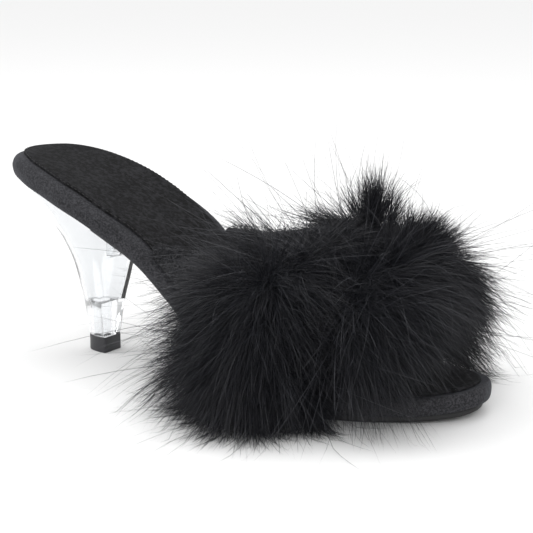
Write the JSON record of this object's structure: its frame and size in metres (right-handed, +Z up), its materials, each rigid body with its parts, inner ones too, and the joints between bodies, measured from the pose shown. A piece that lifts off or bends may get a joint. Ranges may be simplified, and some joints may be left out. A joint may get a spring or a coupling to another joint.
{
  "type": "heeled mule",
  "caption": "Right-foot heeled mule: fabric-wrapped footbed on a clear hollow heel, with a vamp band under a deep feather trim.",
  "frame": {"origin": "on the floor under the middle of the heel tip's flat bottom", "axes": "+X to the toe, +Z up, +Y to the inner (medial) side; the shoe stands on its heel tip and its forefoot"},
  "size_m": [0.2442, 0.1872, 0.1035],
  "materials": {
    "outsole_rubber": "matt black rubber, finely grained",
    "wrap_fabric": "black woven satin-back cloth, dull sheen",
    "sock_fabric": "black brushed cloth with a short nap",
    "clear_plastic": "clear colourless moulded plastic, polished",
    "tip_rubber": "smooth black rubber, low gloss",
    "vamp_fabric": "black woven cloth, dull sheen",
    "feathers": "black down plumes, soft with a blue-grey sheen on the strands"
  },
  "bodies": {
    "root": {"outsole": "outsole_rubber", "footbed": "wrap_fabric", "sock": "sock_fabric", "heel": "clear_plastic", "heel_tip": "tip_rubber", "vamp": "vamp_fabric", "feather_trim": "feathers"}
  },
  "joints": []
}
